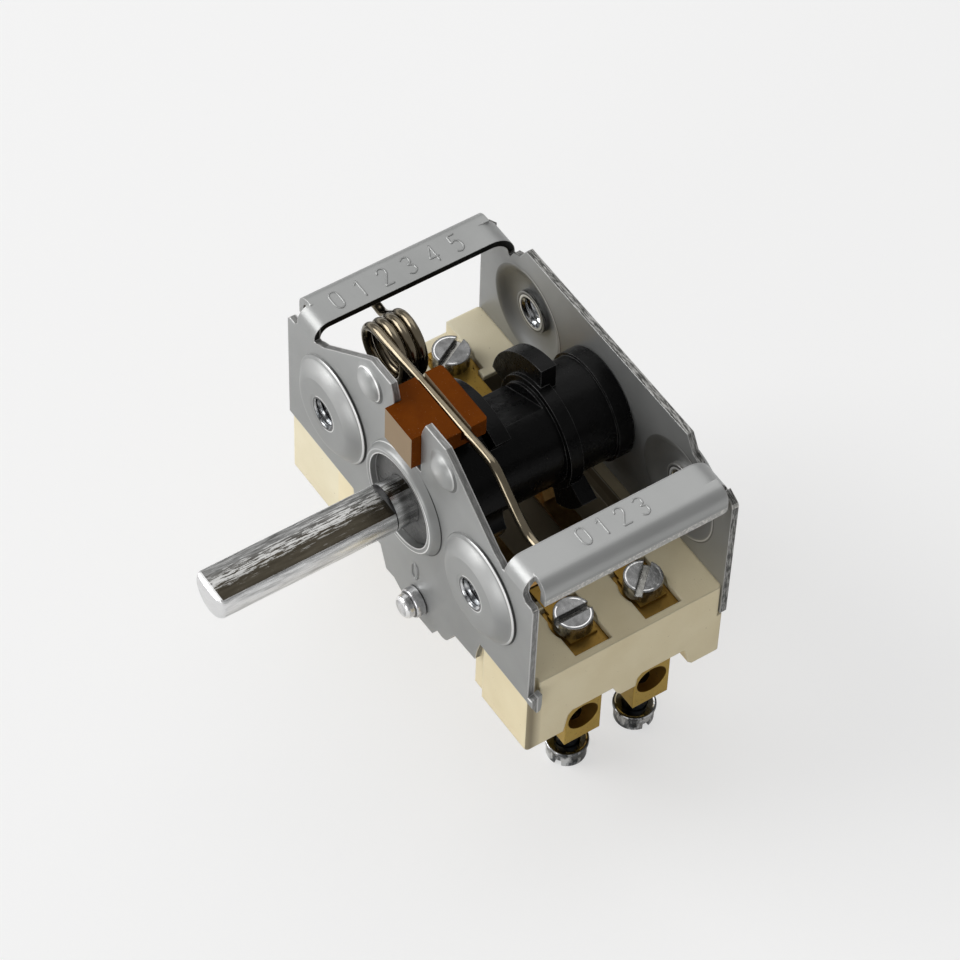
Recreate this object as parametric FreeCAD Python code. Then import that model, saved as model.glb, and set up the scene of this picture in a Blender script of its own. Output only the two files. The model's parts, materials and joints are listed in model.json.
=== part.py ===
import FreeCAD, Part
import math
import os

# Rotary cam switch with a folded sheet frame, a ceramic base and two sprung contact arms.
# Millimetres. Z is up, the spindle lies along Y and its free end points to -Y.
# The origin is on the spindle axis, in the front face of the front plate.

# folded sheet frame
SHEET = 0.9
DEPTH = 28.0
HALF_W = 25.5
BAR_TOP = 10.0
BAR_IN = HALF_W - 5.7
LIP_LOW = 6.6
WING_TOP = 6.8
REAR_WING_TOP = 8.0
FRONT_LOW = -10.4
REAR_LOW = -13.0
LOBE_TOP = 16.5
REAR_TOP = 10.4
LIP_R = 1.8
FRONT_BEND_R = 2.2
REAR_BEND_R = 3.4
LIP_END = 1.6
NOTCH_W = 2.1
SHOULDER = 8.35
TAB_LOW = -14.3
TAB_LEFT = 11.2
TAB_RIGHT = 15.7

# fixing holes: two M4 threads 31 apart in each plate, in raised bosses
HOLE_X = 15.5
THREAD_R = 2.0
BOSS_RISE = 1.5
BOSS_R = 7.0
BOSS_TOP_R = 4.4
NECK_R = 2.8
NECK_L = 1.0

# locating pin riveted in the lower tab
PIN_X = 3.0
PIN_Z = -16.1
PIN_R = 1.9
PIN_TIP_R = 1.5

# spindle and its bearings
SHAFT_R = 3.0
SHAFT_TIP = -26.6
SHAFT_END = 26.0
FLAT_ACROSS = 4.6
FLAT_END = -3.0
COLLAR_R = 6.0
COLLAR_RISE = 1.1
COLLAR_FOOT = 7.3
COLLAR_TOP = 6.6
DOME_X = 7.6
DOME_Z = 12.7
DOME_R = 2.3
DOME_RISE = 0.85
REAR_BORE_R = 5.0
RUN_FIT = 0.05
KEY_FIT = 0.02

# detent wheel and cam drum
END_PLAY = 0.15
WHEEL_R = 8.8
WHEEL_END = 8.2
NOTCH_DEPTH = 1.2
LOBE_R = 10.1
DISC_R = 7.35
DRUM_R = 6.5
TAIL_R = 6.6
FLANGE_R = 7.0
POLE_Y = (9.75, 19.5)
CAM_HALF = 1.05

# follower
FOL_TOP = 14.0
FOL_LIFT = 0.1
TONGUE_HALF = 2.75
TONGUE_OUT = -1.25
BODY_HALF = 4.75
BODY_END = 7.7
WING_LOW = 11.6
SLIDE_FIT = 0.1

# torsion spring
WIRE_R = 0.6
COIL_X = -12.9
COIL_Z = 9.2
COIL_R = 3.55
LEG_Y = 4.75
COIL_END_Y = 8.8
COIL_TURNS = 3

# ceramic base
CER_HALF = HALF_W - 0.2
CER_TOP = -8.0
CER_LOW = -17.0
WEB_LOW = -15.2
FOOT_LOW = -20.4
MID_FOOT_LOW = -19.0
WRAP = 0.6
WRAP_GAP = 0.4
SIDE_LOW = -9.9
END_LEFT = 14.3 - CER_HALF
END_RIGHT = CER_HALF - 11.5
CAVITY_HALF = CER_HALF - 9.7
CAVITY_FLOOR = -13.8

# terminals
TERM_X = CER_HALF - 5.2
BLOCK_IN = TERM_X - 3.0
BLOCK_OUT = TERM_X + 3.3
BLOCK_HALF = 2.5
BLOCK_LOW = -27.1
FLANGE_IN = TERM_X - 3.2
FLANGE_OUT = TERM_X + 4.25
LEFT_FLANGE_OUT = TERM_X + 2.35
LEDGE = -9.6
FLOOR = -8.8
WIRE_HOLE_R = 2.1
WIRE_HOLE_Z = -22.8
SLOT_FIT = 0.05

# screws
HEAD_R = 2.35
HEAD_H = 2.0
HEAD_ROOM = 0.55
SHANK_R = 1.25
SHANK_LOW = -16.5
CLAMP_X = TERM_X + 0.5
CLAMP_R = 1.5
CLAMP_HEAD_R = 2.45
CLAMP_HEAD_H = 2.2
CLAMP_LOW = -33.0

# contacts
STRIP = 0.4
STRIP_HALF = 1.6
TIP_HALF = 1.1
TIP_X = -8.6
TIP_GAP = 1.4
TIP_H = 0.8
ARM_TOP = -10.3
ARM_ROOT = TERM_X - 6.8

V = FreeCAD.Vector
PLATE_IN = DEPTH - SHEET
STRIP_TOP = FLOOR + STRIP


def box(x0, x1, y0, y1, z0, z1):
    return Part.makeBox(x1 - x0, y1 - y0, z1 - z0, V(x0, y0, z0))


def rod_y(x, z, r, y0, y1):
    return Part.makeCylinder(r, y1 - y0, V(x, y0, z), V(0, 1, 0))


def rod_z(x, y, r, z0, z1):
    return Part.makeCylinder(r, z1 - z0, V(x, y, z0), V(0, 0, 1))


def rod_x(y, z, r, x0, x1):
    return Part.makeCylinder(r, x1 - x0, V(x0, y, z), V(1, 0, 0))


def cone_y(x, z, r0, r1, y0, y1):
    if y1 > y0:
        return Part.makeCone(r0, r1, y1 - y0, V(x, y0, z), V(0, 1, 0))
    return Part.makeCone(r0, r1, y0 - y1, V(x, y0, z), V(0, -1, 0))


def plate_xz(points, y0, y1):
    loop = [V(x, y0, z) for x, z in points]
    loop.append(loop[0])
    return Part.Face(Part.makePolygon(loop)).extrude(V(0, y1 - y0, 0))


def plate_yz(points, x0, x1):
    loop = [V(x0, y, z) for y, z in points]
    loop.append(loop[0])
    return Part.Face(Part.makePolygon(loop)).extrude(V(x1 - x0, 0, 0))


def mirrored(points):
    return list(points) + [(-x, z) for x, z in reversed(points)]


def round_edges(shape, radius, test):
    picked = [e for e in shape.Edges if test(e)]
    return shape.makeFillet(radius, picked)


def along(edge, axis):
    if len(edge.Vertexes) != 2 or not isinstance(edge.Curve, Part.Line):
        return False
    d = edge.Vertexes[1].Point.sub(edge.Vertexes[0].Point)
    d.normalize()
    return abs(d.dot(axis)) > 0.999


def near(edge, x=None, y=None, z=None, tol=0.06):
    c = edge.CenterOfMass
    for value, wanted in ((c.x, x), (c.y, y), (c.z, z)):
        if wanted is not None and abs(value - wanted) > tol:
            return False
    return True


def save(name, shape):
    shape = shape.removeSplitter()
    shape.exportStep("parts/" + name + ".step")


def boss(shape, x, face, way, flared):
    """Raise a round screw boss on a plate whose outer face is at `face`; `way` is its outward sign in Y."""
    top = face + way * BOSS_RISE
    back = face - way * SHEET
    out = cone_y(x, 0, BOSS_R, BOSS_TOP_R, face, top)
    dish_floor = top - way * SHEET
    if flared:
        dish = cone_y(x, 0, BOSS_R - 0.45, BOSS_TOP_R - 0.45, back, dish_floor)
    else:
        dish = rod_y(x, 0, BOSS_TOP_R, *sorted((back, dish_floor)))
    neck = rod_y(x, 0, NECK_R, *sorted((dish_floor, dish_floor - way * NECK_L)))
    hole = rod_y(x, 0, THREAD_R, *sorted((top + way, back - way * 3)))
    return shape.fuse(out).cut(dish).fuse(neck).cut(hole)


def dome(shape, x):
    """Press a round dimple outwards in the front plate, hollow behind."""
    out = cone_y(x, DOME_Z, DOME_R, DOME_R - 1.3, 0, -DOME_RISE)
    hollow = rod_y(x, DOME_Z, DOME_R - 1.1, SHEET - DOME_RISE, SHEET)
    return shape.fuse(out).cut(hollow)


def bar(side):
    """One bar of the frame: a top strip bent into both plates, with a lip along its outer edge."""
    low = BAR_TOP - REAR_BEND_R - 0.2
    strip = box(BAR_IN, HALF_W - NOTCH_W, 0, DEPTH, low, BAR_TOP)
    hollow = box(BAR_IN - 1, HALF_W - 1.5, SHEET, PLATE_IN, low - 1, BAR_TOP - SHEET)
    for r, outer, inner in ((FRONT_BEND_R, 0, SHEET), (REAR_BEND_R, DEPTH, PLATE_IN)):
        strip = round_edges(strip, r, lambda e: along(e, V(1, 0, 0)) and near(e, y=outer, z=BAR_TOP))
        hollow = round_edges(hollow, r - SHEET,
                             lambda e: along(e, V(1, 0, 0)) and near(e, y=inner, z=BAR_TOP - SHEET))
    strip = strip.cut(hollow)
    lip = box(HALF_W - 2.5, HALF_W, LIP_END, DEPTH - LIP_END, LIP_LOW, BAR_TOP)
    lip = round_edges(lip, LIP_R, lambda e: along(e, V(0, 1, 0)) and near(e, x=HALF_W, z=BAR_TOP))
    lip = round_edges(lip, 0.7, lambda e: along(e, V(1, 0, 0)) and near(e, y=DEPTH - LIP_END, z=LIP_LOW))
    under = box(HALF_W - 3.5, HALF_W - SHEET, LIP_END - 1, DEPTH - LIP_END + 1, LIP_LOW - 1, BAR_TOP - SHEET)
    corner = HALF_W - SHEET
    under = round_edges(under, LIP_R - SHEET, lambda e: along(e, V(0, 1, 0)) and near(e, x=corner, z=BAR_TOP - SHEET))
    whole = strip.fuse(lip.cut(under))
    if side < 0:
        whole = whole.mirror(V(0, 0, 0), V(1, 0, 0))
    return whole


def hook():
    """A tab at the lower right corner of the front plate, bent round the end of the ceramic."""
    outer = HALF_W - 0.15 + SHEET
    flat = box(HALF_W - 1.5, outer, 0, SHEET, FRONT_LOW, FRONT_LOW + 0.8)
    bent = [(0, FRONT_LOW - 0.1), (0.8, FRONT_LOW - 1.7), (1.3, FRONT_LOW - 1.5), (1.45, FRONT_LOW - 0.5),
            (1.45, FRONT_LOW + 1.4), (0, FRONT_LOW + 0.8)]
    return flat.fuse(plate_yz(bent, HALF_W - 0.15, outer))


def make_frame():
    slot = TONGUE_HALF + SLIDE_FIT
    bend = BAR_TOP - FRONT_BEND_R
    edge = HALF_W - NOTCH_W
    right = [(slot + 0.2, LOBE_TOP - 1.4), (slot + 0.7, LOBE_TOP), (7.6, LOBE_TOP), (8.9, LOBE_TOP - 0.9),
             (BAR_IN - 2.1, SHOULDER + 0.35), (BAR_IN - 1.1, SHOULDER - 0.1), (BAR_IN - 0.4, bend), (edge, bend),
             (edge, SHOULDER - 0.9), (HALF_W - 1.5, WING_TOP), (HALF_W - 0.4, WING_TOP), (HALF_W, WING_TOP - 0.4),
             (HALF_W - 0.1, FRONT_LOW)]
    left = [(-x, z) for x, z in reversed(right)]
    tab = [(TAB_RIGHT, FRONT_LOW), (15.1, -12.6), (14.8, TAB_LOW), (10.5, TAB_LOW - 0.3), (8.8, -17.9), (7.0, -17.7),
           (6.0, -19.4), (3.1, -19.5), (-0.9, -18.5), (-2.3, -17.7), (-4.0, -17.9), (-5.3, TAB_LOW - 0.3),
           (-10.6, TAB_LOW), (-TAB_LEFT, FRONT_LOW)]
    floor = WHEEL_R + FOL_LIFT - NOTCH_DEPTH - 0.15
    outline = [(-slot, floor), (slot, floor), (slot, LOBE_TOP - 2.2)] + right + tab + left + [(-slot, LOBE_TOP - 2.2)]
    front = plate_xz(outline, 0, SHEET)
    front = round_edges(front, 1.6, lambda e: along(e, V(0, 1, 0)) and near(e, x=8.8, z=-17.9, tol=0.1))
    bend = BAR_TOP - REAR_BEND_R
    rear_half = [(BAR_IN - 3.5, REAR_TOP), (BAR_IN - 2.3, SHOULDER), (BAR_IN - 1.0, SHOULDER - 0.6),
                 (BAR_IN - 0.4, bend), (edge, bend), (edge + 0.3, bend), (edge + 0.3, REAR_WING_TOP),
                 (HALF_W - 0.2, REAR_WING_TOP - 0.9), (HALF_W, REAR_WING_TOP - 1.3), (HALF_W - 0.1, REAR_LOW)]
    rear = plate_xz(mirrored(rear_half), PLATE_IN, DEPTH)
    frame = front.fuse([rear, bar(1), bar(-1), hook()])
    for x in (-HOLE_X, HOLE_X):
        frame = boss(frame, x, 0, -1, False)
        frame = boss(frame, x, DEPTH, 1, True)
    frame = frame.fuse(cone_y(0, 0, COLLAR_FOOT, COLLAR_TOP, 0, -COLLAR_RISE)).cut(rod_y(0, 0, COLLAR_R, -3, 2))
    frame = frame.cut(rod_y(0, 0, REAR_BORE_R, PLATE_IN - 1, DEPTH + 1))
    frame = dome(dome(frame, -DOME_X), DOME_X)
    return frame.cut(rod_y(PIN_X, PIN_Z, PIN_R, -1, SHEET + 1))


def make_pin():
    pin = rod_y(PIN_X, PIN_Z, PIN_R, -1.3, SHEET)
    return pin.fuse(rod_y(PIN_X, PIN_Z, PIN_TIP_R, -2.6, -1.3))


def end_block(x0, x1):
    """One end of the ceramic: three feet with sloping steps, and ledges that reach out under both plates."""
    y0 = SHEET
    y1 = PLATE_IN
    front = y0 - WRAP
    rear = y1 + WRAP
    step = 0.6
    under = [(front, FOOT_LOW), (y0 + 4.6, FOOT_LOW)]
    for pole, foot, low in ((POLE_Y[0], (POLE_Y[0] + 3.2, POLE_Y[1] - 3.9), MID_FOOT_LOW),
                            (POLE_Y[1], (POLE_Y[1] + 3.6, rear), FOOT_LOW)):
        under += [(pole - 3.1 - step, CER_LOW - step), (pole - 3.1, CER_LOW), (foot[0] - step, CER_LOW),
                  (foot[0], low + step), (foot[0] + step, low), (foot[1], low)]
    ledge = [(rear, REAR_LOW - WRAP_GAP), (y1, REAR_LOW - WRAP_GAP), (y1, CER_TOP), (y0, CER_TOP),
             (y0, FRONT_LOW - WRAP_GAP), (front, FRONT_LOW - WRAP_GAP)]
    block = plate_yz(under + ledge, x0, x1)
    outer = x0 if x0 < 0 else x1
    return round_edges(block, WRAP - 0.1, lambda e: along(e, V(0, 0, 1)) and near(e, x=outer))


def make_base():
    y0 = SHEET
    y1 = PLATE_IN
    base = box(END_LEFT - 1, END_RIGHT + 1, y0, y1, WEB_LOW, CER_TOP)
    base = base.fuse([end_block(-CER_HALF, END_LEFT), end_block(END_RIGHT, CER_HALF)])
    base = base.cut(box(-CAVITY_HALF, CAVITY_HALF, y0 + 1.6, y1 - 1.6, CAVITY_FLOOR, 0))
    base = base.cut(box(-12.0, 12.0, y0 - 1, y1 + 1, -10.4, 0))
    base = base.cut(box(-TAB_LEFT - 0.4, TAB_RIGHT + 0.4, y0 - 2, y0, FOOT_LOW - 1, 0))
    base = base.cut(box(CER_HALF - 0.8, CER_HALF + 1, y0 - 1, y0 + 0.9, FRONT_LOW - 0.3, 0))
    half = BLOCK_HALF + SLOT_FIT
    for side, reach in ((-1, LEFT_FLANGE_OUT), (1, FLANGE_OUT)):
        for y in POLE_Y:
            pocket = sorted((side * (FLANGE_IN - SLOT_FIT), side * (reach + SLOT_FIT)))
            slot = sorted((side * (BLOCK_IN - SLOT_FIT), side * (BLOCK_OUT + SLOT_FIT)))
            gate = sorted((side * (CAVITY_HALF - 1), side * (FLANGE_IN + 1)))
            gate_half = STRIP_HALF + 0.2
            base = base.cut(box(pocket[0], pocket[1], y - half, y + half, LEDGE, 0))
            base = base.cut(box(slot[0], slot[1], y - half, y + half, FOOT_LOW - 1, 0))
            base = base.cut(box(gate[0], gate[1], y - gate_half, y + gate_half, FLOOR - 0.05, 0))
            base = base.cut(rod_z(side * TERM_X, y, HEAD_R + HEAD_ROOM, FLOOR, 0))
            if side < 0:
                base = base.cut(box(-CER_HALF - 1, -reach, y - half, y + half + 0.2, SIDE_LOW, 0))
    return base


def make_block(side, y):
    block = box(BLOCK_IN, BLOCK_OUT, y - BLOCK_HALF, y + BLOCK_HALF, BLOCK_LOW, LEDGE)
    reach = FLANGE_OUT if side > 0 else LEFT_FLANGE_OUT
    block = block.fuse(box(FLANGE_IN, reach, y - BLOCK_HALF, y + BLOCK_HALF, LEDGE, FLOOR))
    block = block.makeChamfer(0.3, [e for e in block.Edges if near(e, z=BLOCK_LOW)])
    block = block.cut(rod_x(y, WIRE_HOLE_Z, WIRE_HOLE_R, BLOCK_IN - 1, BLOCK_OUT + 1))
    block = block.cut(rod_z(TERM_X, y, SHANK_R, SHANK_LOW, FLOOR + 1))
    block = block.cut(rod_z(CLAMP_X, y, CLAMP_R, BLOCK_LOW - 1, WIRE_HOLE_Z))
    if side < 0:
        block = block.mirror(V(0, 0, 0), V(1, 0, 0))
    return block


def slotted_head(x, y, r, z0, z1, turn, up):
    """A cheese head from z0 to z1 with its slot at the end that `up` names."""
    head = rod_z(x, y, r, z0, z1)
    end = z1 if up else z0
    cut = box(-r - 1, r + 1, -0.45, 0.45, -0.9, 0.9)
    cut.rotate(V(0, 0, 0), V(0, 0, 1), turn)
    cut.translate(V(x, y, end))
    return head.cut(cut)


def make_top_screw(x, y, turn):
    z0 = STRIP_TOP
    screw = slotted_head(x, y, HEAD_R, z0, z0 + HEAD_H, turn, True)
    return screw.fuse(rod_z(x, y, SHANK_R, SHANK_LOW, z0 + 0.2))


def make_clamp_screw(x, y, turn):
    z1 = CLAMP_LOW + CLAMP_HEAD_H
    screw = slotted_head(x, y, CLAMP_HEAD_R, CLAMP_LOW, z1, turn, False)
    tip = WIRE_HOLE_Z - WIRE_HOLE_R - 0.05
    return screw.fuse(rod_z(x, y, CLAMP_R, z1 - 0.2, tip))


def make_shaft():
    shaft = rod_y(0, 0, SHAFT_R, SHAFT_TIP, SHAFT_END)
    tip = [e for e in shaft.Edges if isinstance(e.Curve, Part.Circle) and near(e, y=SHAFT_TIP)]
    shaft = shaft.makeChamfer(0.6, tip)
    flat = FLAT_ACROSS - SHAFT_R
    shaft = shaft.cut(box(-5, 5, SHAFT_TIP - 1, FLAT_END, flat, 5))
    shaft = shaft.cut(box(-5, 5, 1.5, SHAFT_END + 1, flat, 5))
    return shaft


def key_bore(y0, y1):
    """The D shaped bore that keys a moulding to the spindle."""
    fit = KEY_FIT
    bore = rod_y(0, 0, SHAFT_R + fit, y0, y1)
    return bore.cut(box(-5, 5, y0 - 1, y1 + 1, FLAT_ACROSS - SHAFT_R + fit, 5))


def make_wheel():
    front = SHEET + END_PLAY
    wheel = rod_y(0, 0, WHEEL_R, front, WHEEL_END)
    reach = WHEEL_R + FOL_LIFT + TONGUE_HALF - NOTCH_DEPTH
    for turn in (0, 90, 180, 270):
        a = math.radians(turn)
        notch = rod_y(reach * math.sin(a), reach * math.cos(a), TONGUE_HALF + SLIDE_FIT, front - 1, WHEEL_END + 1)
        wheel = wheel.cut(notch)
    wheel = wheel.fuse(rod_y(0, 0, COLLAR_R - RUN_FIT, -0.2, front))
    wheel = wheel.cut(rod_y(0, 0, SHAFT_R + KEY_FIT, -1, 1.5))
    return wheel.cut(key_bore(1.5, WHEEL_END + 1))


def sector(r, y0, y1, a0, a1):
    """A solid sector of radius r between two angles, counted from +X towards +Z."""
    steps = max(2, int((a1 - a0) / 30.0) + 1)
    points = [(0.0, 0.0)]
    for i in range(steps + 1):
        a = math.radians(a0 + (a1 - a0) * i / steps)
        points.append((2 * r * math.cos(a), 2 * r * math.sin(a)))
    return rod_y(0, 0, r, y0, y1).common(plate_xz(points, y0 - 1, y1 + 1))


def make_drum():
    end = PLATE_IN - END_PLAY
    drum = rod_y(0, 0, DRUM_R, WHEEL_END, 17.9)
    flat = box(-12, 12, 11.4, 17.5, 5.0, 12)
    flat.rotate(V(0, 0, 0), V(0, 1, 0), -25)
    drum = drum.cut(flat)
    drum = drum.fuse(rod_y(0, 0, DISC_R, 17.9, 19.65))
    drum = drum.fuse(rod_y(0, 0, TAIL_R, 19.65, end - 2))
    drum = drum.fuse(rod_y(0, 0, FLANGE_R, end - 2.05, end))
    drum = drum.fuse(rod_y(0, 0, REAR_BORE_R - RUN_FIT, end, DEPTH + 0.4))
    drum = drum.fuse(sector(LOBE_R, POLE_Y[0] - CAM_HALF, POLE_Y[0] + CAM_HALF, 60, 240))
    drum = drum.fuse(sector(LOBE_R, POLE_Y[1] - CAM_HALF, POLE_Y[1] + CAM_HALF, 92, 172))
    drum = drum.fuse(sector(LOBE_R, POLE_Y[1] - CAM_HALF, POLE_Y[1] + CAM_HALF, 294, 334))
    drum = drum.cut(rod_y(0, 0, SHAFT_R + KEY_FIT, SHAFT_END, SHAFT_END + 0.3))
    return drum.cut(key_bore(WHEEL_END - 1, SHAFT_END + 0.01))


def make_follower():
    """The slider: a tongue in the plate's slot, a body on two wings and a round nose that drops in the notches."""
    low = WHEEL_R + FOL_LIFT
    nose = low + TONGUE_HALF
    face = SHEET + SLIDE_FIT
    tongue = box(-TONGUE_HALF, TONGUE_HALF, TONGUE_OUT, face - 0.1, low, FOL_TOP)
    core = box(-TONGUE_HALF, TONGUE_HALF, TONGUE_OUT, BODY_END, nose, FOL_TOP)
    body = box(-BODY_HALF, BODY_HALF, face, BODY_END, WING_LOW, FOL_TOP)
    body = round_edges(body, 0.5, lambda e: along(e, V(0, 0, 1)))
    body = body.fuse([core, tongue, rod_y(0, nose, TONGUE_HALF, 0, BODY_END)])
    body = body.cut(box(-6, 6, TONGUE_OUT - 1, BODY_END + 1, FOL_TOP, FOL_TOP + 2))
    half = WIRE_R + 0.05
    return body.cut(box(-6, 6, LEG_Y - half, LEG_Y + half, FOL_TOP - 1.55, FOL_TOP + 1))


def wire_solid(points, r, sides):
    """A closed faceted solid that follows a line of points, with the same turned section at each point."""
    rings = []
    up = V(0, 1, 0)
    for i, p in enumerate(points):
        d = points[min(i + 1, len(points) - 1)].sub(points[max(i - 1, 0)])
        d.normalize()
        side = up.cross(d)
        side.normalize()
        other = d.cross(side)
        ring = []
        for k in range(sides):
            a = 2 * math.pi * (k + 0.5) / sides
            ring.append(p + side * (r * math.cos(a)) + other * (r * math.sin(a)))
        rings.append(ring)
    faces = []
    for lower, upper in zip(rings, rings[1:]):
        for k in range(sides):
            n = (k + 1) % sides
            for corner in ((lower[k], lower[n], upper[n]), (lower[k], upper[n], upper[k])):
                faces.append(Part.Face(Part.makePolygon(list(corner) + [corner[0]])))
    for ring in (rings[0], rings[-1]):
        faces.append(Part.Face(Part.makePolygon(ring + [ring[0]])))
    solid = Part.makeSolid(Part.makeShell(faces))
    if solid.Volume < 0:
        solid.reverse()
    return solid


def make_spring():
    """One wire: a short leg under the left bar, the coil, and a long leg over the follower to the right bar."""
    under = BAR_TOP - SHEET - WIRE_R
    points = [V(x, COIL_END_Y, under) for x in (-BAR_IN - 2.6, -BAR_IN - 0.4, 1.4 - BAR_IN)]
    start = 158.0
    stop = 92.2 - 360.0 * COIL_TURNS
    count = 10 * COIL_TURNS + 4
    for i in range(count + 1):
        a = math.radians(start + (stop - start) * i / count)
        y = COIL_END_Y + (LEG_Y - COIL_END_Y) * i / count
        points.append(V(COIL_X + COIL_R * math.cos(a), y, COIL_Z + COIL_R * math.sin(a)))
    for x, z in ((-9.0, 12.91), (-4.0, 13.1), (1.0, 13.3), (6.0, 13.49), (9.4, 13.6), (10.5, 13.4), (11.6, 12.75),
                 (13.0, 11.6), (15.0, 10.0), (16.7, 8.9), (BAR_IN - 1.8, under), (BAR_IN + 0.2, under),
                 (BAR_IN + 2.6, under)):
        points.append(V(x, LEG_Y, z))
    return wire_solid(points, WIRE_R, 6)


def make_strip(side, y, x0, x1):
    pad = SHANK_R + 0.6
    strip = box(x0, x1, y - STRIP_HALF, y + STRIP_HALF, FLOOR, STRIP_TOP)
    strip = strip.fuse(box(side * TERM_X - 2.4, side * TERM_X + 2.3, y - pad, y + pad, FLOOR, STRIP_TOP))
    strip = strip.cut(rod_z(side * TERM_X, y, SHANK_R, FLOOR - 1, 0))
    return strip


def make_tip(y, top):
    return box(TIP_X - TIP_HALF, TIP_X + TIP_HALF, y - TIP_HALF, y + TIP_HALF, top - TIP_H, top)


def make_arm(y):
    """A contact arm, drawn pushed down to just clear the largest cam radius."""
    top = FLOOR - TIP_H - TIP_GAP - TIP_H
    arm = plate_yz([(y - 1.4, top - STRIP), (y + 1.4, top - STRIP), (y + 1.4, top), (y - 1.4, top)], TIP_X - 2, 6.0)
    loop = [(6.0, top - STRIP), (6.0, top), (9.6, top), (ARM_ROOT - 0.5, STRIP_TOP), (ARM_ROOT, STRIP_TOP),
            (ARM_ROOT, FLOOR), (ARM_ROOT - 0.3, FLOOR), (9.75, top - STRIP)]
    arm = arm.fuse(plate_xz(loop, y - 1.4, y + 1.4))
    nose = plate_xz([(-1.6, top), (1.6, top), (0.6, ARM_TOP), (-0.6, ARM_TOP)], y - 0.9, y + 0.9)
    return arm.fuse(nose)


os.makedirs("parts", exist_ok=True)

save("frame", make_frame())
save("locating_pin", make_pin())
save("ceramic_base", make_base())
save("spindle", make_shaft())
save("detent_wheel", make_wheel())
save("cam_drum", make_drum())
save("follower", make_follower())
save("torsion_spring", make_spring())

CORNERS = (("front_left", -1, 0, 65, 30), ("rear_left", -1, 1, 118, 75), ("front_right", 1, 0, 90, -59),
           ("rear_right", 1, 1, -48, 1))
for name, side, pole, turn, clamp_turn in CORNERS:
    y = POLE_Y[pole]
    save("terminal_" + name, make_block(side, y))
    save("top_screw_" + name, make_top_screw(side * TERM_X, y, turn))
    save("clamp_screw_" + name, make_clamp_screw(side * CLAMP_X, y, clamp_turn))

for name, y in (("front", POLE_Y[0]), ("rear", POLE_Y[1])):
    save("fixed_strip_" + name, make_strip(-1, y, -TERM_X - 2.3, TIP_X + 1.4))
    save("arm_holder_" + name, make_strip(1, y, ARM_ROOT + 0.2, TERM_X + 2.3))
    save("fixed_tip_" + name, make_tip(y, FLOOR))
    save("contact_arm_" + name, make_arm(y))
    save("moving_tip_" + name, make_tip(y, FLOOR - TIP_H - TIP_GAP))
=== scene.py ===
import json
import bpy
import numpy as np
from mathutils import Matrix, Vector


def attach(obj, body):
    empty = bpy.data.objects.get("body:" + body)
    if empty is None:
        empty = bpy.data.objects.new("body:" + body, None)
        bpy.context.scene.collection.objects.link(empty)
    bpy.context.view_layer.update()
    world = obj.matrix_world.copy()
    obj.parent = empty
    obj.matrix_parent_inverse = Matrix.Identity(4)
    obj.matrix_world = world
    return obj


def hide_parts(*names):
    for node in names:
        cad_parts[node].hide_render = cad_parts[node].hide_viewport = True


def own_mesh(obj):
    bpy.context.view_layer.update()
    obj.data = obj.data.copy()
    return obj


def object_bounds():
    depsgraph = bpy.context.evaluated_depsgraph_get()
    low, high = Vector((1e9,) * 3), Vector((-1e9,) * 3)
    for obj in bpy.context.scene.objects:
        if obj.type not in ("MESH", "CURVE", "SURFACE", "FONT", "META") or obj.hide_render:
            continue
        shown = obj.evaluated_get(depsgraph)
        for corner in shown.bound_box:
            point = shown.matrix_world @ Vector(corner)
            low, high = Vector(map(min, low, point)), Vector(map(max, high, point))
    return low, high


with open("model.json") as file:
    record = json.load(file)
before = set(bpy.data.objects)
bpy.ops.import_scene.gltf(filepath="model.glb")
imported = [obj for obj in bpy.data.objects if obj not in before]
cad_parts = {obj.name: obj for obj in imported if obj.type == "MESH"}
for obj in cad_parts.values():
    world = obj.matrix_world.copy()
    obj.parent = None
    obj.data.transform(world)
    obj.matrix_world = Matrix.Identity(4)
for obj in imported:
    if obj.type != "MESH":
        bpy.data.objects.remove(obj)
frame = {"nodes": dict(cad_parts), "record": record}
cad_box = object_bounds()

# A rotary cam switch. Lengths below are millimetres unless a name or a comment says otherwise.
MM = 0.001

# camera, fitted to the view that the finished render is compared with; the clip distances are metres
CAMERA_AT = (247.64, -165.29, 377.43)
CAMERA_RIGHT = (0.55248, 0.83316, 0.02474)
CAMERA_UP = (-0.66068, 0.41963, 0.62243)
CAMERA_BACK = (0.50820, -0.36022, 0.78229)
LENS = 157.5
SENSOR = 36.0
CLIP = (0.01, 20.0)

# studio, in metres and watts: name, place, width and power of each soft box, and the point that they all face
SOFT_BOXES = (("key", (-1.2, -1.25, 1.0), 1.4, 28.0),
              ("top", (-1.05, 0.75, 1.6), 2.2, 12.5),
              ("card", (0.85, -1.9, 0.4), 0.9, 8.0))
AIM = (0, 0.01, 0)
FLOOR_REACH = 4.0
WORLD_LIGHT = 0.36
WORLD_SEEN = 0.9
PAPER_WHITE = 0.985
PAPER_LIFT = 0.56

# torsion spring, as in the solid that it replaces; its legs are (x, z) points
WIRE_R = 0.6
COIL_X = -12.9
COIL_Z = 9.2
COIL_R = 3.55
COIL_END_Y = 8.8
COIL_TURNS = 3
COIL_START_DEG = 158.0
COIL_STOP_DEG = 92.2 - 360.0 * COIL_TURNS
LEG_Y = 4.75
SHORT_LEG = ((-22.4, 8.5), (-20.2, 8.5), (-18.4, 8.6))
LONG_LEG = ((-9.0, 12.91), (-4.0, 13.1), (1.0, 13.3), (6.0, 13.49), (9.4, 13.6), (10.5, 13.4),
            (11.6, 12.75), (13.0, 11.6), (15.0, 10.0), (16.7, 8.9), (18.0, 8.5), (20.0, 8.5), (22.4, 8.5))

# sheet frame: its thickness, the distance over its two plates, and where the bars and their outer lips lie
SHEET = 0.9
DEPTH = 28.0
BAR_IN = 19.8
LIP_IN = 23.0
LIP_FACE = 25.3
LIP_FOOT = 6.5

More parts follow.
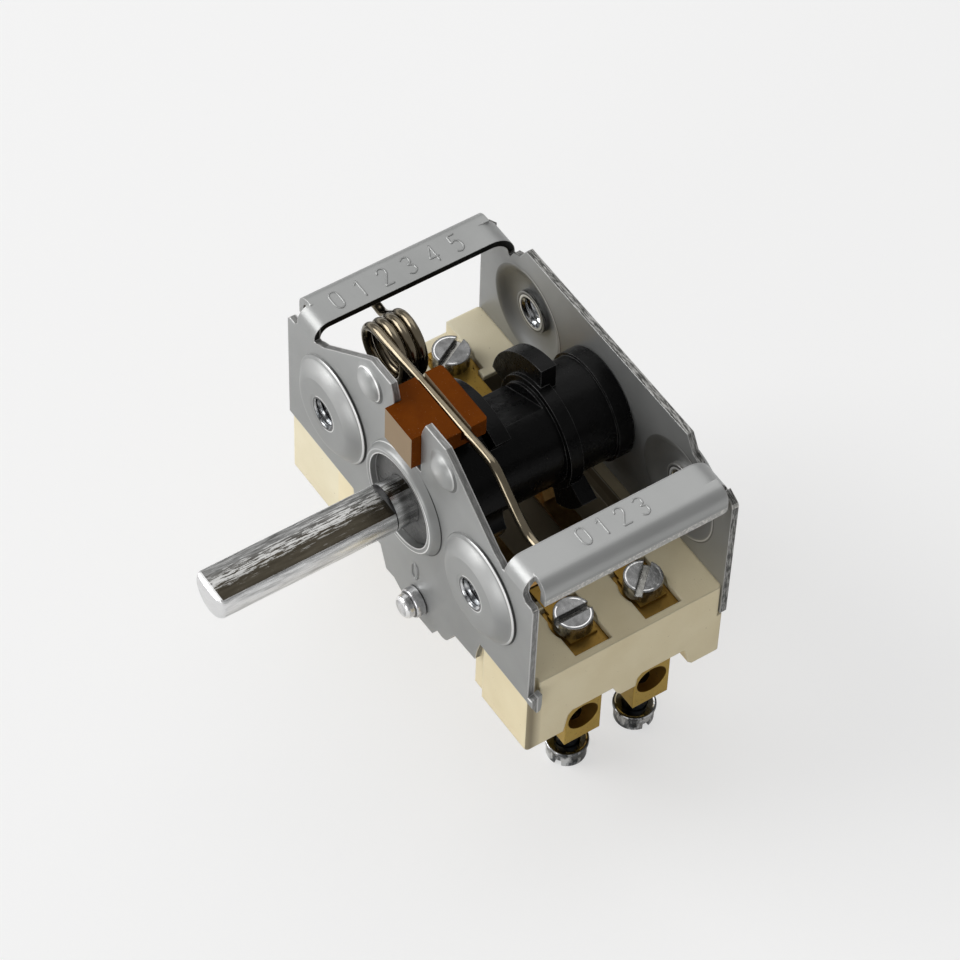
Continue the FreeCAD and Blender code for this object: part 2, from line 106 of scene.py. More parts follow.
# pressings of the frame: their places, and (radius, y) profiles measured from the face that each stands on
HOLE_X = 15.5
DOME_X = 7.6
DOME_Z = 12.7
BOSS = ((7.03, -0.01), (7.01, -0.2), (6.93, -0.33), (6.75, -0.4), (6.5, -0.53), (6.15, -0.82),
        (5.75, -1.13), (5.35, -1.38), (4.95, -1.52), (4.5, -1.57), (3.6, -1.57), (2.85, -1.57),
        (2.5, -1.52), (2.28, -1.35), (2.1, -1.08), (2.01, -0.8))
REAR_BOSS = ((7.03, 0.02), (6.98, 0.3), (6.85, 0.6), (6.6, 0.92), (6.2, 1.18), (5.7, 1.35), (5.1, 1.45),
             (4.6, 1.49), (4.3, 1.48))
DISH = ((6.95, -0.92), (6.6, -0.9), (6.2, -0.76), (5.7, -0.5), (5.2, -0.22), (4.6, 0.03), (4.0, 0.2),
        (3.4, 0.3), (2.75, 0.32))
DOME = ((2.9, 0.02), (2.7, -0.03), (2.45, -0.14), (2.2, -0.36), (1.85, -0.66), (1.45, -0.87), (1.0, -0.97),
        (0.5, -1.03), (0.05, -1.04))
COLLAR = ((7.4, 0.02), (7.26, -0.25), (7.1, -0.6), (6.92, -0.95), (6.72, -1.12), (6.5, -1.17),
          (6.25, -1.15), (6.08, -1.0), (6.01, -0.7))

# thread ridges in the fixing holes: where each starts and ends along Y, and how it fades out
THREADS = (("front", -1.5, 0.4), ("rear", 27.6, 29.5))
CORE_R = 2.0
PITCH = 0.7
CREST = 0.35
WALL_GAP = 0.01
FADE_OUT = 0.3

# spindle: a D section whose flat is left out from FULL_FROM to FULL_TO. The stations behind the tip are even
# at first (from, to, number), and then crowd at these steps, so that smooth shading doesn't pass over them.
SHAFT_R = 3.0
SHAFT_TIP = -26.6
SHAFT_END = 26.0
TIP_FACE_R = 2.3
TIP_RISE = 0.12
TIP_ROUND = 0.78
FLAT_Z = 1.6
FLAT_CHAMFER = 0.4
FULL_FROM = (-3.04, -3.0)
FULL_TO = (1.5, 1.52)
EVEN_STATIONS = (-25.6, -3.6, 24)
STATIONS = (-3.06, -3.04, -3.0, -2.98, -2.8, 0.0, 1.48, 1.5, 1.52, 1.6, 14.0, SHAFT_END)

# locating pin, with its (radius, y) profile
PIN_X = 3.0
PIN_Z = -16.1
PIN = ((0.02, -2.59), (0.7, -2.56), (1.15, -2.46), (1.4, -2.25), (1.5, -1.95), (1.52, -1.5),
       (1.58, -1.38), (1.75, -1.3), (1.86, -1.18), (1.9, -0.95), (1.9, -0.5), (1.9, 0.4), (1.9, 0.85),
       (1.8, 0.9), (0.02, 0.9))

# terminals: the two poles along Y and the place that tells them apart, the wire holes, the screws, and the
# (radius, z) profile of the flange above a clamp screw's head. The top screws' slotted faces are at
# TOP_SCREW_FACE; the clamp screws' slots face down, and these screws end above CLAMP_BOTTOM.
POLE_Y = (9.75, 19.5)
POLE_SPLIT = 14.6
WIRE_HOLE_Z = -22.8
TOP_SCREW_X = 20.1
TOP_SCREW_FACE = -6.8
CLAMP_X = 20.6
CLAMP_BOTTOM = -34.0
BETWEEN_SCREWS = -20.0
HEAD_HEIGHT = 2.2
PAST_SHANK = 1.7
FLANGE = ((1.6, -30.95), (2.55, -30.95), (2.65, -30.85), (2.65, -30.62), (2.55, -30.5), (2.1, -30.45),
          (1.6, -30.45))

# raised numbers: name, text, start, directions (reading, up, outwards), height and pitch of the digits
ON_BAR = ((0, 1, 0), (-1, 0, 0), (0, 0, 1))
ON_TAB = ((1, 0, 0), (0, 0, 1), (0, -1, 0))
NUMBERS = (("numbers_left", "012345", (-20.8, 4.0, 9.95), ON_BAR, 2.7, 3.3),
           ("numbers_right", "0123", (23.0, 8.6, 9.95), ON_BAR, 2.6, 2.6),
           ("number_tab", "0", (1.5, -0.03, -12.9), ON_TAB, 2.7, 2.0))
STROKE_R = 0.15
CELL_WIDTH = 0.46

# strokes of the digits, in a cell one unit wide and two high
ROUND_0 = ((0.5, 2.0), (0.9, 1.7), (0.98, 1.0), (0.9, 0.3), (0.5, 0.0), (0.1, 0.3), (0.02, 1.0), (0.1, 1.7),
           (0.5, 2.0))
DIGITS = {
    "0": (ROUND_0,),
    "1": (((0.15, 1.55), (0.55, 2.0)), ((0.55, 2.0), (0.55, 0.0))),
    "2": (((0.03, 1.5), (0.2, 1.9), (0.55, 2.0), (0.9, 1.75), (0.9, 1.3), (0.55, 0.75), (0.02, 0.02)),
          ((0.02, 0.02), (0.98, 0.02))),
    "3": (((0.05, 1.75), (0.4, 2.0), (0.85, 1.85), (0.88, 1.3), (0.45, 1.08)),
          ((0.45, 1.08), (0.93, 0.85), (0.95, 0.3), (0.5, 0.0), (0.03, 0.25))),
    "4": (((0.75, 0.0), (0.75, 2.0)), ((0.75, 2.0), (0.0, 0.6)), ((0.0, 0.6), (1.0, 0.6))),
    "5": (((0.9, 2.0), (0.15, 2.0)), ((0.15, 2.0), (0.1, 1.1)),
          ((0.1, 1.1), (0.5, 1.3), (0.92, 1.0), (0.92, 0.35), (0.5, 0.0), (0.02, 0.2))),
}


class Value:
    """A node socket that can be used in Python expressions."""

    def __init__(self, shop, socket):
        self.shop = shop
        self.socket = socket

    def __add__(self, other):
        return self.shop.math("ADD", self, other)

    def __radd__(self, other):
        return self.shop.math("ADD", other, self)

    def __sub__(self, other):
        return self.shop.math("SUBTRACT", self, other)

    def __rsub__(self, other):
        return self.shop.math("SUBTRACT", other, self)

    def __mul__(self, other):
        return self.shop.math("MULTIPLY", self, other)

    __rmul__ = __mul__


class Shader:
    """The nodes of a material or of the world; `node` is the only place that adds one."""

    def __init__(self, owner):
        self.owner = owner
        owner.use_nodes = True
        self.tree = owner.node_tree
        self.tree.nodes.clear()

    def node(self, kind, settings=None, sockets=None, out=0):
        """A new node with these settings and inputs: gives its output `out`, or the node if it has none."""
        made = self.tree.nodes.new(kind)
        for key, value in (settings or {}).items():
            if key == "stops":
                ramp = made.color_ramp
                while len(ramp.elements) < len(value):
                    ramp.elements.new(1.0)
                for element, (where, tone) in zip(ramp.elements, value):
                    element.position = where
                    element.color = (tone, tone, tone, 1.0)
            else:
                setattr(made, key, value)
        for key, value in (sockets or {}).items():
            if isinstance(value, Value):
                self.tree.links.new(value.socket, made.inputs[key])
            else:
                made.inputs[key].default_value = value
        return Value(self, made.outputs[out]) if len(made.outputs) else made

    def math(self, operation, a, b):
        return self.node("ShaderNodeMath", {"operation": operation}, {0: a, 1: b})


class Finish(Shader):
    """One procedural material on Object coordinates."""

    def __init__(self, name):
        super().__init__(bpy.data.materials.new(name))
        self.place = self.node("ShaderNodeTexCoord", out="Object")
        self.facing = self.node("ShaderNodeTexCoord", out="Normal")

    def size(self, value):
        return self.math("ABSOLUTE", value, 0.0)

    def distance(self, a, b):
        """Square root of the sum of two squares."""
        return self.math("SQRT", a * a + b * b, 0.0)

    def over(self, value, limit):
        """1 where value is greater than limit, else 0."""
        return self.math("GREATER_THAN", value, limit)

    def between(self, value, low, high):
        return self.over(value, low) * self.over(high, value)

    def rgba(self, colour):
        """A plain (r, g, b) gets its alpha, and a socket stays as it is."""
        return colour if isinstance(colour, Value) else tuple(colour) + (1.0,)

    def mix(self, factor, a, b):
        """Colour a where factor is 0, colour b where it is 1."""
        sockets = {0: factor, 6: self.rgba(a), 7: self.rgba(b)}
        return self.node("ShaderNodeMix", {"data_type": "RGBA"}, sockets, out=2)

    def ramp(self, value, stops):
        """The tone at value on straight lines through the (value, tone) stops."""
        return self.node("ShaderNodeValToRGB", {"stops": stops}, {0: value})

    def rise(self, value, low, high):
        """0 up to low, 1 from high on, and a straight line between."""
        return self.ramp(value, ((low, 0.0), (high, 1.0)))

    def fall(self, value, low, high):
        """1 up to low, 0 from high on, and a straight line between."""
        return self.ramp(value, ((low, 1.0), (high, 0.0)))

    def stretched(self, scale):
        """Object coordinates scaled by (x, y, z), for patterns drawn out along an axis."""
        return self.node("ShaderNodeMapping", {}, {"Vector": self.place, "Scale": scale})

    def noise(self, per_mm, detail=3.0, rough=0.55, place=None):
        return self.node("ShaderNodeTexNoise", {}, {"Vector": place or self.place, "Scale": per_mm / MM,
                                                    "Detail": detail, "Roughness": rough})

    def part_of_facing(self, axis):
        """How far the surface faces +X, +Y or +Z, from -1 to 1."""
        return self.node("ShaderNodeSeparateXYZ", {}, {0: self.facing}, out=axis)

    def mm(self, axis):
        """The X, Y or Z coordinate in mm."""
        return self.node("ShaderNodeSeparateXYZ", {}, {0: self.place}, out=axis) * (1.0 / MM)

    def from_pair(self, x, half_gap):
        """x measured from the nearer one of two features at -half_gap and +half_gap."""
        return x + half_gap - self.over(x, 0.0) * (2 * half_gap)

    def from_pole(self, y):
        """y measured from the nearer one of the two poles."""
        return y - POLE_Y[0] - self.over(y, POLE_SPLIT) * (POLE_Y[1] - POLE_Y[0])

    def edges(self, reach_mm, low, high):
        """1 on the ridges and corners of the piece, where a rounded normal leaves the true one, else 0."""
        true = self.node("ShaderNodeNewGeometry", out="Normal")
        rounded = self.node("ShaderNodeBevel", {"samples": 8}, {"Radius": reach_mm * MM})
        cosine = self.node("ShaderNodeVectorMath", {"operation": "DOT_PRODUCT"}, {0: true, 1: rounded},
                           out="Value")
        return self.rise(1.0 - cosine, low, high)

    def close(self, colour, roughness, metallic=0.0, bump=None, height_mm=0.02, edge_mm=0.0, ior=1.5):
        """The finished material: bump is a pattern of heights, edge_mm rounds the corners in the shading."""
        normal = {}
        if edge_mm:
            normal["Normal"] = self.node("ShaderNodeBevel", {"samples": 6}, {"Radius": edge_mm * MM})
        if bump is not None:
            heights = {"Strength": 1.0, "Distance": height_mm * MM, "Height": bump}
            normal["Normal"] = self.node("ShaderNodeBump", {}, {**heights, **normal})
        sockets = {"Base Color": self.rgba(colour), "Roughness": roughness, "Metallic": metallic,
                   "IOR": ior, **normal}
        return self.show(self.node("ShaderNodeBsdfPrincipled", {}, sockets))

    def show(self, surface):
        self.node("ShaderNodeOutputMaterial", {}, {"Surface": surface})
        return self.owner


def grey(level):
    return (level, level, level)


def cut_edges(f):
    """1 on the sheared edges of the sheet, which are the narrow faces across its thickness, else 0."""
    x = f.size(f.mm(0))
    y = f.mm(1)
    z = f.mm(2)
    inset = 0.03
    across = f.over(0.4, f.size(f.part_of_facing(1)))
    front = f.between(y, inset, SHEET - inset)
    rear = f.between(y, DEPTH - SHEET + inset, DEPTH - inset)
    lip_ends = f.over(f.size(f.part_of_facing(1)), 0.6) * f.over(x, LIP_IN + 0.05)
    lip_ends = lip_ends * f.between(f.size(y - DEPTH / 2), 11.4, 12.0)
    lip_low = f.over(f.part_of_facing(2) * -1.0, 0.6) * f.over(x, LIP_IN)
    lip_low = lip_low * f.between(z, LIP_FOOT, LIP_FOOT + 0.3)
    return f.math("MINIMUM", across * (front + rear) + lip_ends + lip_low, 1.0)


def inner_edge(f):
    """1 on the narrow inner edge of each bar, which is painted dark as shade."""
    at_edge = f.between(f.size(f.mm(0)), BAR_IN - 0.1, BAR_IN + 0.1)
    return f.over(f.size(f.part_of_facing(0)), 0.7) * at_edge * f.over(f.mm(2), 7.0)


def low_lip(f):
    """1 on the rough strip along the foot of each bar's outer lip."""
    return f.over(f.size(f.mm(0)), LIP_FACE) * f.between(f.mm(2), LIP_FOOT, LIP_FOOT + 1.0)


def burr_highlight_lines(f):
    """1 on the thin burrs where a sheared edge meets either face of the front plate, where a painted
    highlight goes.
    """
    y = f.mm(1)
    across = f.over(0.4, f.size(f.part_of_facing(1)))
    return across * (f.between(y, -0.05, 0.13) + f.between(y, SHEET - 0.13, SHEET + 0.05))


def pressed(f):
    """The painted highlights and the painted shade lines round the pressings of the front plate, most on the
    side of +X.
    """
    x = f.mm(0)
    y = f.mm(1)
    z = f.mm(2)
    boss_x = f.from_pair(x, HOLE_X)
    dome_x = f.from_pair(x, DOME_X)
    boss = f.distance(boss_x, z)
    dome = f.distance(dome_x, z - DOME_Z)
    collar = f.distance(x, z)
    boss_side = f.rise(boss_x * 0.10 + z * 0.06, 0.05, 0.45)
    dome_side = f.rise(dome_x * 0.3 - (z - DOME_Z) * 0.1, 0.1, 0.5)
    collar_side = f.rise(x * 0.1 - z * 0.04, 0.05, 0.3)
    # painted highlights: rims of the bosses and of the collar, upper slopes of the bosses, domes and hole
    # mouths
    upper = f.ramp(z * 0.08 + 0.4, ((0.0, 0.35), (0.6, 1.0)))
    bright = f.over(boss, 6.74) * f.between(y, -0.4, -0.26) * boss_side * upper
    bright = bright + f.between(collar, 6.52, 6.68) * (collar_side * 0.7 + 0.3)
    bright = bright + f.between(collar, 6.02, 6.16) * 0.7
    bright = bright + f.between(boss, 4.7, 6.6) * f.rise(z * 0.16 + boss_x * 0.03, 0.3, 0.9) * 0.3
    spot = f.fall(f.distance(dome_x + 0.2, z - DOME_Z - 0.3) * 0.5, 0.1, 0.8)
    bright = bright + spot * f.over(-0.3, y) * 0.4
    bright = bright + f.between(boss, 2.2, 2.36) * f.over(boss_x + z * 0.5, -0.8) * 0.7
    # painted shade: round the bosses, the domes and the collar, and inside the holes
    dark = f.between(boss, 7.0, 7.15) * f.over(y, -0.3) * boss_side
    dark = dark + f.between(dome, 2.3, 2.6) * dome_side * 0.7
    dark = dark + f.between(collar, 7.34, 7.5) * collar_side + f.over(2.2, boss) * 0.8
    outside = f.over(0.06, y)
    return bright * outside, dark * outside


def rear_lines(f):
    """The painted highlight line and the painted shade line round each dish inside the rear plate, and the
    painted shade in its -X half.
    """
    x = f.mm(0)
    z = f.mm(2)
    inner = f.over(f.mm(1), 26.6) * f.over(f.part_of_facing(1) * -1.0, -0.3)
    dish_x = f.from_pair(x, HOLE_X)
    dish = f.distance(dish_x, z)
    side = f.rise(dish_x * 0.12 + z * 0.03, 0.02, 0.4)
    bright = f.between(dish, 6.75, 6.92) * side * 0.7 + f.between(dish, 2.1, 2.35)
    dark = f.between(dish, 6.98, 7.12) * side * 0.6 + f.between(dish, 2.35, 2.55) * 0.8
    shade = f.over(6.7, dish) * f.rise(dish_x * -0.14 + z * 0.02 + 0.2, 0.1, 0.9)
    return bright * inner, dark * inner, shade * inner


def zinc_sheet():
    """Satin zinc plate: cloudy tone, fine grain, streaky sheared edges, and painted highlights and painted
    shade on the edges, the bars and the pressings.
    """
    f = Finish("zinc_sheet")
    x = f.mm(0)
    y = f.mm(1)
    z = f.mm(2)
    cloud = f.noise(0.10, 3.0)
    grain = f.noise(3.0, 3.0)
    flat = f.mix(f.rise(cloud, 0.35, 0.65), (0.32, 0.325, 0.32), (0.37, 0.375, 0.37))
    # painted shade inside the rear plate and low on the front one, and a painted highlight on the right hand
    # bar
    shaded = (0.12, 0.12, 0.115)
    inside = f.over(y, 26.8) * f.over(f.part_of_facing(1) * -1.0, 0.2)
    flat = f.mix(inside * 0.12, flat, shaded)
    flat = f.mix(f.over(x, 20.0) * f.over(z, 8.0) * 0.25, flat, (0.55, 0.555, 0.55))
    lower = f.fall(z * 0.1, 0.2, 0.9)
    flat = f.mix(f.over(1.0, y) * lower * 0.14, flat, shaded)
    # sheared edges, painted highlights along their burrs, and the corners painted bright, partly from wear
    # and partly as painted highlight
    streaks = f.noise(1.5, 4.0, 0.7, place=f.stretched((0.45, 3.0, 0.45)))
    sheared = f.mix(f.rise(streaks, 0.44, 0.60), (0.055, 0.055, 0.05), (0.42, 0.415, 0.40))
    # the front plate's sheared edges painted lighter: a painted highlight
    sheared = f.mix(f.over(20.0, y) * 0.7, sheared, (0.24, 0.24, 0.235))
    edge = cut_edges(f)
    # painted shade: the bars' inner edges near black
    colour = f.mix(inner_edge(f), f.mix(edge, flat, sheared), (0.012, 0.012, 0.011))
    # painted highlight along the burrs of the front plate
    colour = f.mix(burr_highlight_lines(f) * 0.6, colour, (0.78, 0.78, 0.77))
    # corners painted bright, partly wear and partly painted highlight
    wear_and_sheen = f.edges(0.22, 0.04, 0.16) * (1.0 - f.over(f.size(x), 26.0))
    colour = f.mix(wear_and_sheen * 0.5, colour, (0.80, 0.80, 0.79))
    # painted highlights and painted shade round the pressings and the rear dishes, and painted shade in each
    # dish's -X half
    bright, dark = pressed(f)
    rear_bright, rear_dark, shade = rear_lines(f)
    bright = f.math("MINIMUM", bright + rear_bright, 1.0)
    dark = f.math("MINIMUM", dark + rear_dark, 1.0)
    colour = f.mix(shade * 0.55, colour, (0.10, 0.095, 0.085))
    colour = f.mix(dark * 0.85, f.mix(bright * 0.8, colour, (0.97, 0.97, 0.96)), grey(0.02))
    # rough foot of the lips: a lighter strip with painted glints
    lip = low_lip(f)
    sparkle = lip * f.rise(f.noise(2.2, 3.0, 0.7), 0.48, 0.60)
    colour = f.mix(lip * 0.45, colour, (0.58, 0.57, 0.54))
    colour = f.mix(sparkle * 0.7, colour, (0.80, 0.78, 0.74))
    rough = 0.33 + cloud * 0.10 + grain * 0.05
    bump = grain * 0.25 + cloud * 0.5 + edge * streaks * 2.0 + sparkle * 1.5
    return f.close(colour, rough, metallic=0.6, bump=bump, height_mm=0.012, edge_mm=0.16)


def ceramic():
    """Unglazed cream ceramic: fine grains, dark specks, edges lighter, partly from wear and partly as painted
    highlight, and painted brown shade in the cavity, under the cams and by the plate.
    """
    f = Finish("ceramic")
    x = f.mm(0)
    y = f.mm(1)
    z = f.mm(2)
    stain = f.noise(0.12, 4.0)
    grain = f.noise(4.5, 3.0, 0.6)
    specks = f.fall(f.noise(2.4, 2.0), 0.22, 0.27)
    tone = f.rise(stain, 0.3, 0.7)
    pale = f.mix(tone, (0.70, 0.625, 0.44), (0.76, 0.695, 0.515))
    warm = f.mix(tone, (0.72, 0.62, 0.405), (0.78, 0.69, 0.475))
    colour = f.mix(specks * 0.6, f.mix(f.over(x, -15.0), pale, warm), (0.30, 0.22, 0.12))
    # painted shade: dark brown in the cavity
    inside = f.over(15.7, f.size(x)) * f.between(z, -15.0, -8.6) * f.between(y, 2.2, 25.7)
    colour = f.mix(inside * 0.85, colour, (0.07, 0.05, 0.03))
    # painted shade under the cams, patchy with the stain
    under_cams = f.between(x, -9.0, 16.6) * f.between(y, 4.0, 27.3) * f.over(z, -12.0)
    colour = f.mix(under_cams * (0.35 + stain * 0.6), colour, (0.09, 0.065, 0.035))
    # painted shadow on the right end behind the front plate
    by_plate = f.fall(y * 0.4, 0.38, 0.9) * f.over(x, 25.0) * f.over(-9.5, z)
    colour = f.mix(by_plate * 0.75, colour, (0.12, 0.09, 0.05))
    # edges painted lighter, partly wear and partly painted highlight
    colour = f.mix(f.edges(0.5, 0.03, 0.25) * 0.25, colour, (0.88, 0.84, 0.70))
    return f.close(colour, 0.62 + grain * 0.1, bump=grain, height_mm=0.025, edge_mm=0.4, ior=1.4)


def brass(name="brass", lift=1.0):
    """Sawn and milled brass, ochre with dark specks, and painted brown shade inside the base, more towards
    +X, and in the wire holes.
    """
    f = Finish(name)
    x = f.mm(0)
    z = f.mm(2)
    cloud = f.noise(0.4, 4.0)
    specks = f.rise(f.noise(3.2, 4.0, 0.7), 0.30, 0.40)
    ochre = f.mix(cloud, (0.42 * lift, 0.27 * lift, 0.045), (0.55 * lift, 0.38 * lift, 0.085))
    # painted shade: browner in the base, more towards +X, and inside the wire holes
    in_base = f.over(z, -10.0) * (0.5 + 0.12 * f.over(x, 0.0))
    in_hole = f.over(2.16, f.distance(f.from_pole(f.mm(1)), z - WIRE_HOLE_Z)) * f.over(23.38, f.size(x))
    brass_in_painted_shade = f.mix(f.math("MAXIMUM", in_base, in_hole * 0.75), ochre, (0.13, 0.05, 0.005))
    colour = f.mix(specks, (0.10, 0.05, 0.01), brass_in_painted_shade)
    return f.close(colour, 0.34 + cloud * 0.16, metallic=0.75, bump=cloud * 0.4 + specks * 0.4,
                   height_mm=0.02, edge_mm=0.15)


def bronze():
    """Rolled spring bronze: patchy tone and shallow dents."""
    f = Finish("bronze")
    patches = f.noise(0.8, 4.0, 0.6)
    colour = f.mix(f.rise(patches, 0.35, 0.65), (0.42, 0.24, 0.08), (0.55, 0.34, 0.13))
    return f.close(colour, 0.25 + patches * 0.15, metallic=1.0, bump=f.noise(1.6, 2.0), height_mm=0.01,
                   edge_mm=0.18)


def pin_steel():
    """Turned pin: bright rounded tip with a painted highlight ring on its rounding, and painted shade lines
    in the step and round the foot.
    """
    f = Finish("zinc_pin")
    patches = f.noise(0.8, 4.0, 0.6)
    r = f.distance(f.mm(0) - PIN_X, f.mm(2) - PIN_Z)
    y = f.mm(1)
    colour = f.mix(f.rise(patches, 0.35, 0.65), (0.50, 0.50, 0.51), (0.85, 0.85, 0.86))
    # painted highlight ring on the tip's rounding
    colour = f.mix(f.over(-1.9, y) * f.between(r, 1.1, 1.45), colour, grey(0.98))
    # painted shade in the step and round the foot
    dark = f.between(y, -1.48, -1.3) * f.over(1.72, r) + f.between(y, -0.2, 0.05)
    return f.close(f.mix(dark * 0.85, colour, grey(0.03)), 0.16 + patches * 0.15, metallic=1.0,
                   bump=f.noise(1.6, 2.0), height_mm=0.025)


def screw_heads(name, face_z, axis_x, rim, dark, light, glint, rough):
    """Plated screw: dark patchy metal, broken painted highlight arcs on what faces up, painted glints on the
    turned side, and painted shade on what faces up under the base.

    face_z is the height of the slotted face, or a height below the screw where its slot faces down. axis_x is
    the screws' distance from the middle, and rim the two radii of the arcs."""
    f = Finish(name)
    z = f.mm(2)
    patches = f.noise(0.8, 4.0, 0.6)
    broken = f.rise(f.noise(0.45, 2.0), 0.44, 0.50)
    r = f.distance(f.size(f.mm(0)) - axis_x, f.from_pole(f.mm(1)))
    faces_up = f.over(f.part_of_facing(2), 0.9)
    slot = faces_up * f.over(face_z, z)
    # painted highlight: broken arcs on what faces up
    arcs = f.between(r, rim[0], rim[1]) * faces_up * broken * (1.0 - slot)
    sides = f.rise(f.noise(0.9, 3.0, 0.6, place=f.stretched((1.0, 1.0, 0.45))), 0.44, 0.58)
    metal = f.mix(f.rise(patches, 0.35, 0.65), dark, light)
    turned = f.over(z, face_z - HEAD_HEIGHT) * f.over(r, PAST_SHANK)
    # painted glints on the turned side
    colour = f.mix(sides * (1.0 - faces_up) * turned * 0.8, metal, glint)
    # painted shade on what faces up below the base
    colour = f.mix(faces_up * f.over(BETWEEN_SCREWS, z) * 0.5, colour, (0.07, 0.07, 0.072))
    colour = f.mix(arcs * 0.9, f.mix(slot * 0.7, colour, (0.42, 0.41, 0.38)), grey(0.98))
    return f.close(colour, rough + patches * 0.12, metallic=1.0, bump=f.noise(1.6, 2.0), height_mm=0.03,
                   edge_mm=0.18)


def spindle_steel():
    """Zinc plated rod: bright round sides, and a scratched flat with a painted reflection, dark brown towards
    +X and grey towards -X.
    """
    f = Finish("spindle_steel")
    x = f.mm(0)
    y = f.mm(1)
    patches = f.noise(0.35, 5.0, 0.65)
    lines = f.noise(1.8, 5.0, 0.65, place=f.stretched((1.0, 0.10, 1.0)))
    fine = f.noise(5.5, 5.0, 0.7, place=f.stretched((1.0, 0.07, 1.0)))
    marks = f.noise(3.0, 3.0, 0.6, place=f.stretched((1.0, 0.25, 1.0)))
    # the flat, most scratched along its middle, over a painted reflection
    middle = f.fall(f.size(x + y * 0.02 + 0.7) * 0.5, 0.0, 0.9)
    streak = f.rise(fine * 0.6 + marks * 0.3 + middle * 0.13, 0.54, 0.565)
    upper = f.rise(x * -0.35 + lines * 0.5, 0.32, 0.85)
    brown = f.mix(lines, (0.008, 0.006, 0.003), (0.10, 0.088, 0.066))
    dull = f.mix(f.rise(fine, 0.35, 0.65), (0.07, 0.07, 0.068), (0.36, 0.36, 0.355))
    wear_and_sheen = f.mix(streak * (0.15 + middle * 0.5), f.mix(upper, brown, dull), (0.80, 0.80, 0.79))
    # the round sides, duller towards the collar
    mottle = f.rise(lines, 0.36, 0.56)
    smooth = f.mix(mottle, grey(0.44), grey(0.88))
    neck = f.mix(f.rise(patches * 0.5 + lines * 0.5, 0.42, 0.56), grey(0.14), grey(0.52))
    by_collar = f.rise(y * 0.1, -0.75, -0.42)
    on_flat = f.over(f.part_of_facing(2), 0.95)
    steel = f.mix(by_collar * 0.75, f.mix(on_flat, smooth, wear_and_sheen), neck)
    # painted shade in the step at the end of the flat, and a painted highlight on the tip
    steel = f.mix(f.between(y, -3.07, -2.93), steel, grey(0.02))
    steel = f.mix(f.over(-25.95, y) * 0.8, steel, grey(0.85))
    return f.close(steel, 0.15 + mottle * 0.12, metallic=1.0, bump=lines + fine, height_mm=0.02)


def black_plastic():
    """Moulded black thermoset, semi-matt, its edges lighter, partly from wear and partly as painted
    highlight; the disc in the collar is grey from wear.
    """
    f = Finish("black_plastic")
    cloud = f.noise(0.5, 4.0)
    grain = f.noise(4.0, 2.0)
    black = f.mix(cloud, (0.0015, 0.0015, 0.0016), (0.006, 0.006, 0.006))
    wear_and_sheen_patches = f.rise(f.noise(0.35, 3.0), 0.45, 0.62)
    # edges painted lighter, partly wear and partly painted highlight, in patches
    black = f.mix(f.edges(0.16, 0.05, 0.2) * (0.35 + wear_and_sheen_patches * 0.65), black, grey(0.16))
    colour = f.mix(f.over(0.5, f.mm(1)), black, (0.085, 0.085, 0.083))
    return f.close(colour, 0.20 + cloud * 0.16, bump=grain + wear_and_sheen_patches * 2.0, height_mm=0.012, edge_mm=0.2,
                   ior=1.2)


def phenolic():
    """Brown laminate with pale specks; the face cut across the layers is tan."""
    f = Finish("phenolic")
    cloud = f.noise(0.6, 5.0, 0.65)
    specks = f.rise(f.noise(5.0, 3.0, 0.6), 0.66, 0.72)
    brown = f.mix(cloud, (0.10, 0.021, 0.0005), (0.17, 0.041, 0.001))
    cut = f.rise(f.part_of_facing(1) * -1.0, 0.4, 0.8)
    colour = f.mix(cut, f.mix(specks * 0.5, brown, (0.42, 0.26, 0.16)), (0.27, 0.20, 0.13))
    return f.close(colour, 0.45, bump=cloud, height_mm=0.03, edge_mm=0.15, ior=1.1)


def spring_wire():
    """Drawn spring steel with a warm tint, cloudy along its length."""
    f = Finish("spring_wire")
    cloud = f.noise(0.7, 3.0)
    colour = f.mix(cloud, (0.13, 0.105, 0.07), (0.30, 0.26, 0.19))
    return f.close(colour, 0.13 + cloud * 0.08, metallic=1.0, bump=cloud, height_mm=0.01)


def silver():
    """Silver contact alloy, slightly tarnished."""
    f = Finish("contact_tip")
    cloud = f.noise(1.0, 3.0)
    colour = f.mix(cloud, (0.60, 0.60, 0.58), (0.78, 0.78, 0.76))
    return f.close(colour, 0.3 + cloud * 0.15, metallic=1.0, bump=cloud, height_mm=0.02, edge_mm=0.1)


def floor_paint():
    """Matt white paper: the camera sees it mixed with plain white, so that only the soft shadow shows."""
    f = Finish("floor")
    lit = f.node("ShaderNodeBsdfPrincipled", {}, {"Base Color": f.rgba(grey(0.88)), "Roughness": 0.9})
    white = f.node("ShaderNodeEmission", {}, {"Color": (1.0, 1.0, 0.998, 1.0), "Strength": PAPER_WHITE})
    seen = f.node("ShaderNodeLightPath", out="Is Camera Ray")
    return f.show(f.node("ShaderNodeMixShader", {}, {0: seen * PAPER_LIFT, 1: lit, 2: white}))


finishes = {
    "zinc_sheet": zinc_sheet(),
    "zinc_pin": pin_steel(),
    "ceramic": ceramic(),
    "spindle_steel": spindle_steel(),
    "black_plastic": black_plastic(),
    "phenolic": phenolic(),
    "spring_wire": spring_wire(),
    "brass": brass(),
    "brass_strip": brass("brass_strip", 1.1),
    "bronze": bronze(),
    "contact_tip": silver(),
    "screw_zinc": screw_heads("screw_zinc", TOP_SCREW_FACE, TOP_SCREW_X, (1.98, 2.12), grey(0.14),
                              grey(0.27), (0.80, 0.80, 0.79), 0.2),
    "screw_dark": screw_heads("screw_dark", CLAMP_BOTTOM, CLAMP_X, (2.25, 2.4), (0.05, 0.053, 0.056),
                              (0.20, 0.21, 0.22), (0.85, 0.86, 0.87), 0.1),
}


